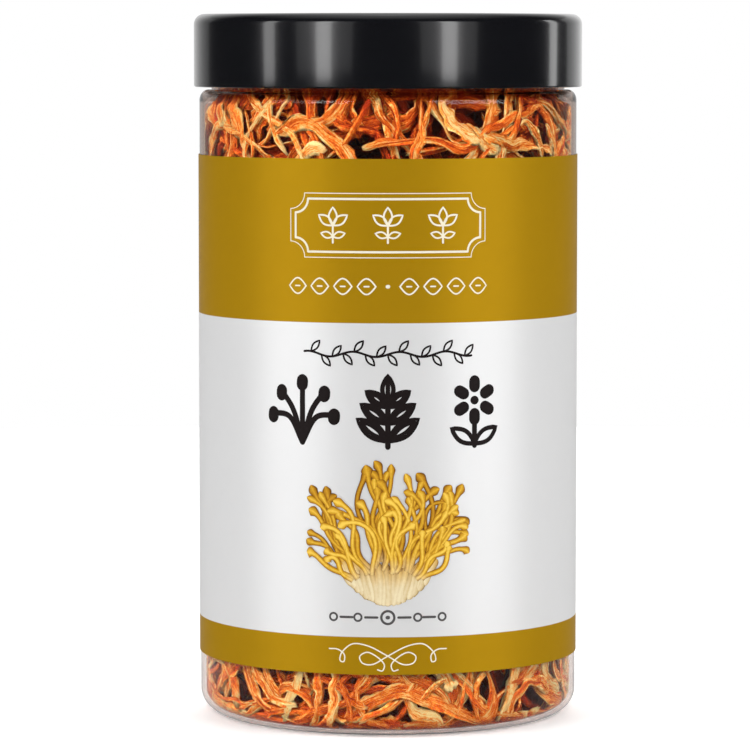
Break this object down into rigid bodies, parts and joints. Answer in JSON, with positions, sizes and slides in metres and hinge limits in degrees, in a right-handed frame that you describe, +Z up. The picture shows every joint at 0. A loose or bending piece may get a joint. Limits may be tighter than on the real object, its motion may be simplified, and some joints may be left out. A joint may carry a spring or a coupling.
{
  "type": "jar of dried cordyceps",
  "caption": "Round clear screw-top jar with a gold and white wrap label, packed with loose dried orange cordyceps strands; its black cap unscrews on a coarse thread.",
  "frame": {"origin": "centre of the base, on the plane of the ring that the jar stands on", "axes": "+Z up along the jar's axis; -Y is the label's printed front"},
  "size_m": [0.0868, 0.0868, 0.1568],
  "materials": {
    "clear_plastic": "clear moulded PET, glossy",
    "black_plastic": "moulded black, high gloss",
    "white_foam": "thin closed-cell foam disc, matt",
    "printed_film": "satin film printed with gold and white bands and fine line ornament",
    "dried_fungus": "dry, matt, wrinkled lengthwise"
  },
  "bodies": {
    "jar": {"jar": "clear_plastic", "label": "printed_film", "strand_core": "dried_fungus", "strand_base_01": "dried_fungus", "strand_base_02": "dried_fungus", "strand_base_03": "dried_fungus", "strand_base_04": "dried_fungus", "strand_base_05": "dried_fungus", "strand_base_06": "dried_fungus", "strand_base_07": "dried_fungus", "strand_base_08": "dried_fungus", "strand_base_09": "dried_fungus", "strand_base_10": "dried_fungus", "strand_base_11": "dried_fungus", "strand_base_12": "dried_fungus", "strand_base_13": "dried_fungus", "strand_base_14": "dried_fungus", "strand_base_15": "dried_fungus", "strand_base_16": "dried_fungus", "strand_base_17": "dried_fungus", "strand_base_18": "dried_fungus", "strand_base_19": "dried_fungus", "strand_base_20": "dried_fungus", "strand_base_21": "dried_fungus", "strand_base_22": "dried_fungus", "strand_base_23": "dried_fungus", "strand_base_24": "dried_fungus", "strand_top_01": "dried_fungus", "strand_top_02": "dried_fungus", "strand_top_03": "dried_fungus", "strand_top_04": "dried_fungus", "strand_top_05": "dried_fungus", "strand_top_06": "dried_fungus", "strand_top_07": "dried_fungus", "strand_top_08": "dried_fungus", "strand_top_09": "dried_fungus", "strand_top_10": "dried_fungus", "strand_top_11": "dried_fungus", "strand_top_12": "dried_fungus", "strand_top_13": "dried_fungus", "strand_top_14": "dried_fungus", "strand_top_15": "dried_fungus", "strand_top_16": "dried_fungus", "strand_top_17": "dried_fungus", "strand_top_18": "dried_fungus", "strand_top_19": "dried_fungus", "strand_top_20": "dried_fungus", "strand_top_21": "dried_fungus", "strand_top_22": "dried_fungus", "strand_top_23": "dried_fungus", "strand_top_24": "dried_fungus"},
    "liner": {"cap_liner": "white_foam"},
    "cap": {"cap": "black_plastic"}
  },
  "joints": [
    {"name": "cap_rise", "type": "slide", "parent": "jar", "child": "liner", "axis": [0, 0, 1], "range_m": [0, 0.005]},
    {"name": "cap_turn", "type": "hinge", "parent": "liner", "child": "cap", "pos_m": [0, 0, 0.1487], "axis": [0, 0, 1], "range_deg": [0, 360]}
  ],
  "couplings": [
    {"joint": "cap_rise", "follows": "cap_turn", "m_per_rad": 0.00079577}
  ]
}
